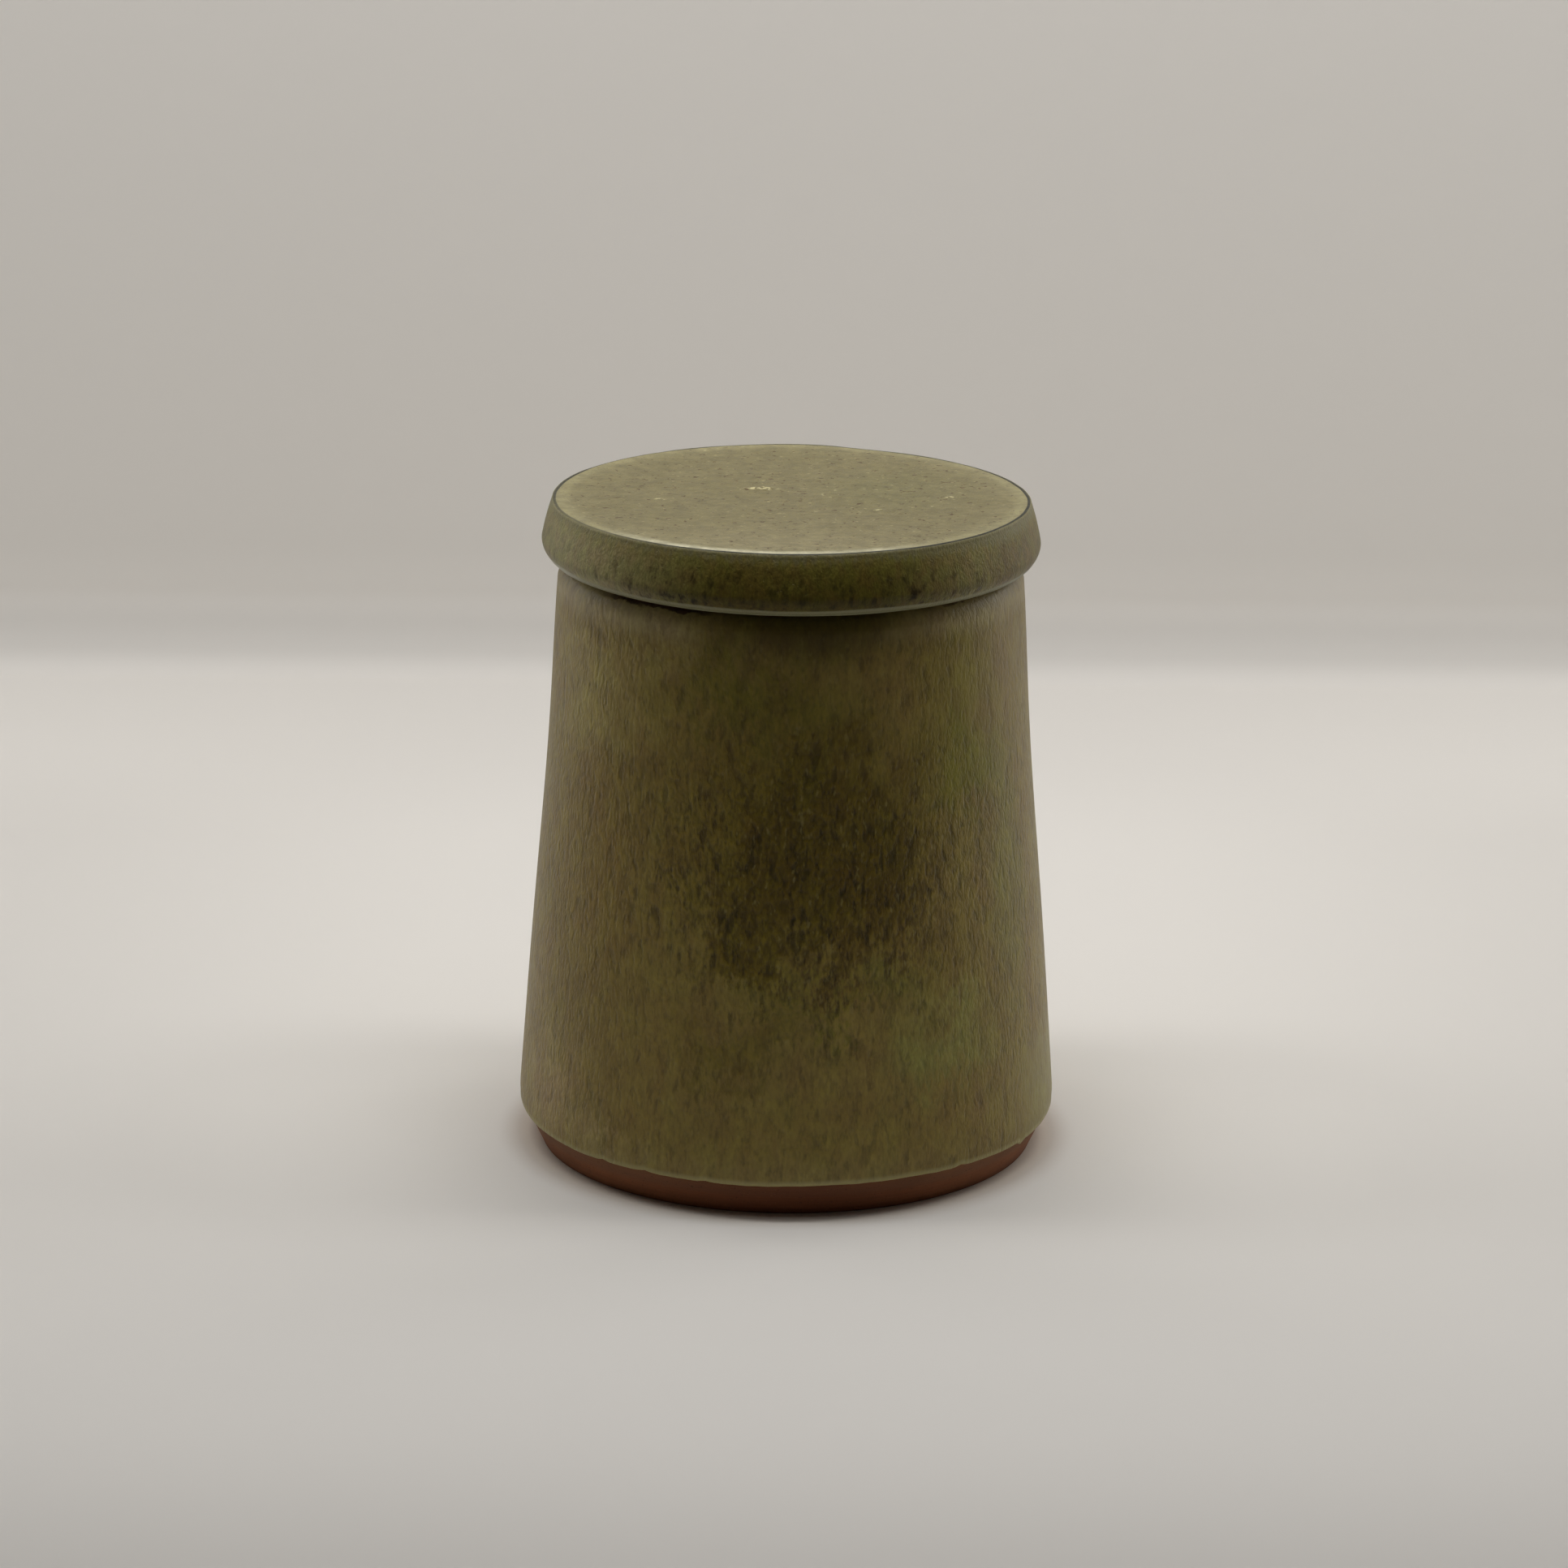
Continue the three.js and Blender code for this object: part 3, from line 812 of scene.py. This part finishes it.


# The same glaze on the lid. It lies flat on top and stays even and pale, breaks pale on the sharp
# edge, runs down the side in streaks, and gathers in a pale roll under the lower edge. The colour also
# holds painted light: highlights on the edge and the roll, a shade line under the edge, sheen on the sides.
def lid_ash_glaze(tree, coords):
    along = node(tree, "Attribute", out="Fac", attribute_name="along")
    edge = SECTION_SHIFT + lid_edge_mark
    on_top = band(tree, along, edge - 0.3, edge - 0.1)
    streaks = pattern(tree, coords, 0.8, 3.4, 0.34, 0.66, detail=3.0, seed=12.4)
    left = blotch(tree, coords, front(-60, 45, 117), (36, 36, 30), 0.1)
    right = blotch(tree, coords, front(60, 45, 117), (34, 34, 28), 0.1)
    rim_ring = band(tree, along, edge + 9.0, edge + 1.0)
    rim_break_highlight = band(tree, along, edge + 3.2, edge + 0.6)
    front_highlight_zone = blotch(tree, coords, (-10, -44, 121), (40, 26, 60), 0.5)
    crease_shade = both(tree, band(tree, along, edge - 0.85, edge - 0.65),
                  band(tree, along, edge - 0.1, edge - 0.3))
    sides = either(tree, left, right)
    pale_run = node(tree, "Math", {0: streaks, 1: 1.0, 2: along}, operation="MULTIPLY_ADD")
    pale_run = node(tree, "Math", {0: right, 1: 1.2, 2: pale_run}, operation="MULTIPLY_ADD")
    under_edge = band(tree, pale_run, edge - 2.4, edge - 0.4)
    calm = node(tree, "MapRange", {"Value": sides, "To Min": 1.0, "To Max": 0.45})
    flecked = either(tree, blotch(tree, coords, front(-33, 45, 112), (18, 18, 9), 0.3),
                     blotch(tree, coords, front(37, 45, 112), (18, 18, 9), 0.3))
    flecked = node(tree, "MapRange", {"Value": flecked, "To Min": 0.58, "To Max": 1.05})
    sharp = node(tree, "MapRange", {"Value": left, "To Min": 0.95, "To Max": 0.5})
    far_right = blotch(tree, coords, front(66, 46, 117), (17, 17, 30), 0.3)
    far_left = blotch(tree, coords, front(-80, 46, 110), (16, 26, 14), 0.3)
    lip_run = node(tree, "Math", {0: far_left, 1: -0.7, 2: along}, operation="MULTIPLY_ADD")
    upper_side = band(tree, along, edge - 4.5, edge - 1.6)
    side_low = band(tree, along, edge - 3.5, edge - 8.0)
    side_mid = band(tree, along, edge - 2.2, edge - 6.0)
    roll = band(tree, lip_run, SECTION_SHIFT + 5.0, SECTION_SHIFT + 4.55)
    roll_line = both(tree, band(tree, along, SECTION_SHIFT + 4.1, SECTION_SHIFT + 3.9),
                     band(tree, along, SECTION_SHIFT + 3.4, SECTION_SHIFT + 3.6))
    clouds = pattern(tree, coords, 11, 11, 0.42, 0.62, seed=6.3)
    green = blotch(tree, coords, (19, 8, 121), (20, 24, 30), 0.1)
    ashy = blotch(tree, coords, (-4, -34, 121), (44, 22, 30), 0.0)
    fine = pattern(tree, coords, 1.7, 1.7, 0.32, 0.68, detail=4.0, seed=4.4)
    grain = pattern(tree, coords, 0.36, 0.7, 0.34, 0.66, detail=1.5, seed=2.2)
    specks = pattern(tree, coords, 1.1, 1.1, 0.655, 0.7, detail=1.5, seed=9.1)
    pale_specks = pattern(tree, coords, 1.1, 1.1, 0.665, 0.72, detail=1.5, seed=19.4)
    crumbly = pattern(tree, coords, 0.8, 0.8, 0.4, 0.56, seed=8.8)
    strokes = pattern(tree, coords, 1.5, 2.6, 0.48, 0.7, detail=3.5, seed=14.1)
    mottle = pattern(tree, coords, 2.6, 4.0, 0.36, 0.64, detail=3.0, seed=15.5)
    soft = pattern(tree, coords, 4.0, 4.0, 0.36, 0.64, detail=3.0, seed=16.6)
    broken = node(tree, "MapRange", {"Value": soft, "To Min": 0.55, "To Max": 1.0})
    top = mixed(tree, [
        (scaled(tree, clouds, 0.4), paint("#776E4C")),
        (scaled(tree, green, 0.45), paint("#6B663E")),
        (scaled(tree, ashy, 0.5), paint("#887E5C")),
        (scaled(tree, rim_ring, 0.25), paint("#8C8460")),
        (scaled(tree, specks, 0.85), paint("#4A3012")),
        (scaled(tree, pale_specks, 0.5), paint("#A59C74")),
        # the pale line round the top's border is glaze breaking thin on the edge with a painted highlight;
        # the next layer paints a brighter highlight where the edge faces the front
        (scaled(tree, rim_break_highlight, 0.35), paint("#A09870")),
        (both(tree, both(tree, scaled(tree, rim_break_highlight, 0.8), front_highlight_zone), broken), paint("#C3BEA2")),
        *((both(tree, scaled(tree, crumbly, 0.9),
                blotch(tree, coords, (x, y, 121.5), (wide, deep, 9), 0.4)), paint("#C2B88C"))
          for x, y, wide, deep in lid_pale_marks),
    ], paint("#736A46"))
    top_value = node(tree, "Math", {0: node(tree, "Math", {0: grain, 1: fine}), 1: soft})
    top_value = node(tree, "MapRange", {"Value": top_value, "From Max": 3.0,
                                        "To Min": 0.85, "To Max": 1.48})
    top = tinged(tree, top, 0.5, top_value)
    side = mixed(tree, [
        (scaled(tree, side_low, 0.4), paint("#4C3E06")),
        # painted sheen: the side is paler towards the left and right, where the side lamps' sheen is laid
        # into the colour
        (scaled(tree, left, 0.93), paint("#9B9062")),
        (scaled(tree, right, 0.95), paint("#8C7F4E")),
        (far_right, paint("#78693A")),
        (scaled(tree, upper_side, 0.45), paint("#80763F")),
    ], paint("#665A20"))
    run = node(tree, "Math", {0: grain, 1: streaks}, operation="SUBTRACT")
    side_value = node(tree, "MapRange", {"Value": run, "From Min": -1.0, "To Min": 0.76, "To Max": 1.24})
    side_hue = node(tree, "MapRange", {"Value": mottle, "To Min": 0.492, "To Max": 0.515})
    side = tinged(tree, side, side_hue, side_value)
    side = mixed(tree, [
        (both(tree, both(tree, strokes, flecked), both(tree, side_mid, calm)), paint("#2A1F04")),
        (scaled(tree, under_edge, 0.6), paint("#85805F")),
        # painted shade: a dark line in the small crease just under the sharp top edge
        (both(tree, crease_shade, sharp), paint("#1B1C14")),
        (scaled(tree, roll, 0.9), paint("#8F8C6D")),
        # painted highlight: the roll under the lower edge, brighter at the far left
        (both(tree, roll, far_left), paint("#B0AD92")),
        (scaled(tree, roll_line, 0.5), paint("#6C6848")),
    ], side)
    colour = node(tree, "Mix", {0: on_top, 6: side, 7: top}, out=2, data_type="RGBA")
    skin = node(tree, "Math", {0: grain, 1: fine}, operation="SUBTRACT")
    peel = node(tree, "Bump", {"Height": skin, "Strength": 0.8, "Distance": 0.05 * MM})
    pits = node(tree, "Bump", {"Height": specks, "Strength": 0.7, "Distance": 0.06 * MM, "Normal": peel},
                invert=True)
    rough = node(tree, "MapRange", {"Value": grain, "To Min": 0.42, "To Max": 0.52})
    return node(tree, "BsdfPrincipled", {"Base Color": colour, "Roughness": rough, "IOR": 1.48,
                                         "Specular IOR Level": 0.28, "Normal": pits})


# Liner glaze, poured in and out of the jar: thinner, plainer and a little glossier than outside
def poured_liner_glaze(tree, coords):
    clouds = pattern(tree, coords, 14, 26, 0.4, 0.65, seed=21.0)
    grain = pattern(tree, coords, 0.5, 0.9, 0.36, 0.68, detail=3.0, seed=23.0)
    specks = pattern(tree, coords, 0.7, 1.0, 0.69, 0.76, seed=27.0)
    colour = mixed(tree, [
        (scaled(tree, clouds, 0.5), paint("#7B7350")),
        (scaled(tree, grain, 0.25), paint("#97906A")),
        (scaled(tree, specks, 0.6), paint("#4F4028")),
    ], paint("#868058"))
    peel = node(tree, "Bump", {"Height": grain, "Strength": 0.25, "Distance": 0.04 * MM})
    return node(tree, "BsdfPrincipled", {"Base Color": colour, "Roughness": 0.34, "IOR": 1.5,
                                         "Normal": peel})


# Iron-bearing stoneware, trimmed on the wheel and fired bare: a dry red-brown skin with fine grog
# and the turning tool's rings
def bare_stoneware(tree, coords):
    clouds = pattern(tree, coords, 12, 6, 0.35, 0.65, seed=31.0)
    grog = pattern(tree, coords, 0.35, 0.35, 0.6, 0.72, detail=2.0, seed=33.0)
    dark_grog = pattern(tree, coords, 0.45, 0.4, 0.64, 0.72, detail=2.0, seed=37.0)
    rings = pattern(tree, coords, 60, 0.35, 0.3, 0.7, detail=2.0, seed=39.0)
    height = node(tree, "SeparateXYZ", {0: coords}, out="Z")
    fumed = band(tree, height, 3.0 * MM, 4.6 * MM)
    painted_front_shade = blotch(tree, coords, front(2, 46, 0), (42, 42, 20), 0.1)
    colour = mixed(tree, [
        (scaled(tree, clouds, 0.6), paint("#80502F")),
        (scaled(tree, rings, 0.15), paint("#4E2B15")),
        (scaled(tree, fumed, 0.4), paint("#6E5742")),
        # painted shade: darker clay low on the front of the foot, which gets less light than its sides
        (scaled(tree, painted_front_shade, 0.7), paint("#5C2A0C")),
        (scaled(tree, grog, 0.3), paint("#8E5C36")),
        (scaled(tree, dark_grog, 0.5), paint("#2C180D")),
    ], paint("#965E3A"))
    turned_rings = node(tree, "Bump", {"Height": rings, "Strength": 0.35, "Distance": 0.06 * MM})
    grit = node(tree, "Bump", {"Height": grog, "Strength": 0.5, "Distance": 0.05 * MM,
                               "Normal": turned_rings})
    return node(tree, "BsdfPrincipled", {"Base Color": colour, "Roughness": 0.82, "IOR": 1.45,
                                         "Normal": grit})


jar_glaze = finish_with("jar_ash_glaze", jar_ash_glaze)
lid_glaze = finish_with("lid_ash_glaze", lid_ash_glaze)
liner_glaze = finish_with("poured_liner_glaze", poured_liner_glaze)
stoneware = finish_with("bare_stoneware", bare_stoneware)

dressing = [
    (jar_clay, "jar", "jar_body", "red_stoneware", stoneware),
    (jar_glaze_piece, "jar", "jar_outer_glaze", "jar_olive_glaze", jar_glaze),
    (liner_piece, "jar", "jar_liner_glaze", "liner_glaze", liner_glaze),
    (lid_clay, "lid", "lid_body", "red_stoneware", stoneware),
    (lid_glaze_piece, "lid", "lid_top_glaze", "lid_olive_glaze", lid_glaze),
    (ceiling_piece, "lid", "lid_underside_glaze", "liner_glaze", liner_glaze),
]
for piece, body, cad_node, slot, finish in dressing:
    piece.data.materials.append(finish)
    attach(piece, body)
    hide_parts(cad_node)

# Studio: a paper sweep that curves up behind the jar, seen from its front only
sweep_half_width = 1500.0
sweep_front = -1500.0
sweep_lit_front = -310.0
sweep_fade = 40.0
sweep_back = 317.0
sweep_curve = 18.0
sweep_top = 1400.0


def seamless_paper(tree, coords):
    """Pale paper. Beyond its lit front it looks pale but throws no light back onto the jar."""
    height = node(tree, "SeparateXYZ", {0: coords}, out="Z")
    depth = node(tree, "SeparateXYZ", {0: coords}, out="Y")
    rise = band(tree, height, 0, 5 * MM)
    far = band(tree, depth, 180 * MM, 260 * MM)
    forward = band(tree, depth, -20 * MM, -120 * MM)
    closest = band(tree, depth, -140 * MM, -230 * MM)
    aside = node(tree, "Math", {0: node(tree, "SeparateXYZ", {0: coords}, out="X")}, operation="ABSOLUTE")
    aside = band(tree, aside, 60 * MM, 180 * MM)
    painted_contact_shadow = blotch(tree, coords, (0, 0, 0), (55, 55, 55), 0.86)
    under_foot = blotch(tree, coords, (0, 0, 0), (50.5, 50.5, 50.5), 0.95)
    # painted light and shade on the paper: darker to the sides, nearest the camera, towards the back and on
    # the backdrop, lighter just in front of the jar
    tone = mixed(tree, [
        (scaled(tree, aside, 0.6), paint("#D6D2CC")),
        (forward, paint("#EAE6E0")),
        (closest, paint("#DCD8D2")),
        (far, paint("#E2DED8")),
        (rise, paint("#D5D1CB")),
        # painted light: two soft lighter patches beside the jar thin its shadow on the floor
        *((scaled(tree, blotch(tree, coords, (x, -5, 0), (54, 62, 40), 0.0), 0.7), paint("#F4F0EA"))
          for x in (-72, 72)),
        # painted contact shadow: a darker ring round the foot, and in the next layer warm painted bounce
        # light right at the foot's edge
        (painted_contact_shadow, paint("#CCC2B5")),
        (under_foot, paint("#EFE7DA")),
    ], paint("#E5E1DB"))
    # painted light: the backdrop lighter from the top of the curve upwards
    high = band(tree, height, 8 * MM, 20 * MM)
    over_curve = both(tree, band(tree, height, 10 * MM, 18 * MM), band(tree, height, 31 * MM, 20 * MM))
    tone = mixed(tree, [(high, paint("#E0DCD6")), (over_curve, paint("#E4E0DA"))], tone)
    lit = band(tree, depth, (sweep_lit_front - sweep_fade) * MM, sweep_lit_front * MM)
    shown = node(tree, "LightPath", out="Is Camera Ray")
    bright = either(tree, lit, shown)
    mirrored = node(tree, "LightPath", out="Is Glossy Ray")
    near = band(tree, depth, 20 * MM, -60 * MM)
    veil = node(tree, "MapRange", {"Value": both(tree, mirrored, near), "To Min": 1.0, "To Max": 0.35})
    bright = both(tree, bright, veil)
    tone = mixed(tree, [(bright, tone)], paint("#000000"))
    face = node(tree, "BsdfDiffuse", {"Color": tone})
    back = node(tree, "NewGeometry", out="Backfacing")
    clear = node(tree, "BsdfTransparent")
    return node(tree, "MixShader", {0: back, 1: face, 2: clear})


def paper_sweep():
    """One sheet of paper: the floor, a soft curve and the backdrop."""
    profile = [(sweep_front, 0.0), *arc((sweep_back, sweep_curve), sweep_curve, -QUARTER_TURN, 0, 24),
               (sweep_back + sweep_curve, sweep_top)]
    bm = bmesh.new()
    verts = [bm.verts.new((-sweep_half_width * MM, y * MM, z * MM)) for y, z in profile]
    edges = [bm.edges.new(pair) for pair in zip(verts, verts[1:])]
    grown = bmesh.ops.extrude_edge_only(bm, edges=edges)["geom"]
    across = [g for g in grown if isinstance(g, bmesh.types.BMVert)]
    bmesh.ops.translate(bm, verts=across, vec=(2 * sweep_half_width * MM, 0, 0))
    for face in bm.faces:
        face.smooth = True
        face.normal_update()
    if bm.faces[:][0].normal.z < 0:
        bmesh.ops.reverse_faces(bm, faces=bm.faces)
    sweep = linked_mesh("paper_sweep", bm)
    sweep.data.materials.append(finish_with("seamless_paper", seamless_paper))


paper_sweep()


def softbox(name, place, aim, width, height, power, tint="#FFFFFF"):
    """A rectangular lamp turned towards a point. Lengths are in millimetres and power in watts."""
    lamp = bpy.data.lights.new(name, "AREA")
    lamp.shape = "RECTANGLE"
    lamp.size, lamp.size_y = width * MM, height * MM
    lamp.energy = power
    lamp.color = paint(tint)[:3]
    thing = bpy.data.objects.new(name, lamp)
    thing.location = Vector(place) * MM
    thing.rotation_euler = (Vector(aim) - Vector(place)).to_track_quat("-Z", "Y").to_euler()
    bpy.context.scene.collection.objects.link(thing)


softbox("rear_strip", (0, 0, 600), (0, 365, 60), 900, 120, 2.3)
softbox("overhead", (0, 120, 760), (0, 60, 0), 700, 520, 0.6)
softbox("front_top", (0, -150, 760), (0, 0, 0), 700, 300, 0.8)
softbox("left_back", (-430, 300, 220), (0, 0, 60), 220, 500, 0.42)
softbox("right_back", (430, 300, 220), (0, 0, 60), 220, 500, 0.6)
softbox("right_panel", (620, 160, 260), (0, 0, 60), 520, 620, 0.12)

world = bpy.data.worlds.new("studio_room")
bpy.context.scene.world = world
world.use_nodes = True
room = world.node_tree
room.nodes.clear()
seen = node(room, "LightPath", out="Is Camera Ray")
dim = node(room, "Background", {"Color": paint("#FFFFFF"), "Strength": 0.02})
pale = node(room, "Background", {"Color": paint("#B9B5AC"), "Strength": 1.0})
backdrop = node(room, "MixShader", {0: seen, 1: dim, 2: pale})
room.links.new(backdrop, room.nodes.new("ShaderNodeOutputWorld").inputs["Surface"])

# Camera, fitted to the lid's and the foot's ellipses in the photograph
camera_distance = 1000.0
camera_height = 359.2
camera_pitch = 16.266
camera_yaw = -0.053
camera_roll = 0.532
focal_pixels = 6933.0
photo_pixels = 1932.0
sensor = 36.0

eye = bpy.data.cameras.new("camera")
eye.sensor_width = sensor
eye.lens = focal_pixels / photo_pixels * sensor
camera = bpy.data.objects.new("camera", eye)
turn = (Matrix.Rotation(math.radians(-camera_yaw), 4, "Z")
        @ Matrix.Rotation(math.radians(90 - camera_pitch), 4, "X")
        @ Matrix.Rotation(math.radians(camera_roll), 4, "Z"))
camera.matrix_world = Matrix.Translation(Vector((0, -camera_distance, camera_height)) * MM) @ turn
bpy.context.scene.collection.objects.link(camera)
bpy.context.scene.camera = camera
bpy.context.scene.view_settings.view_transform = "Standard"

bpy.context.view_layer.update()
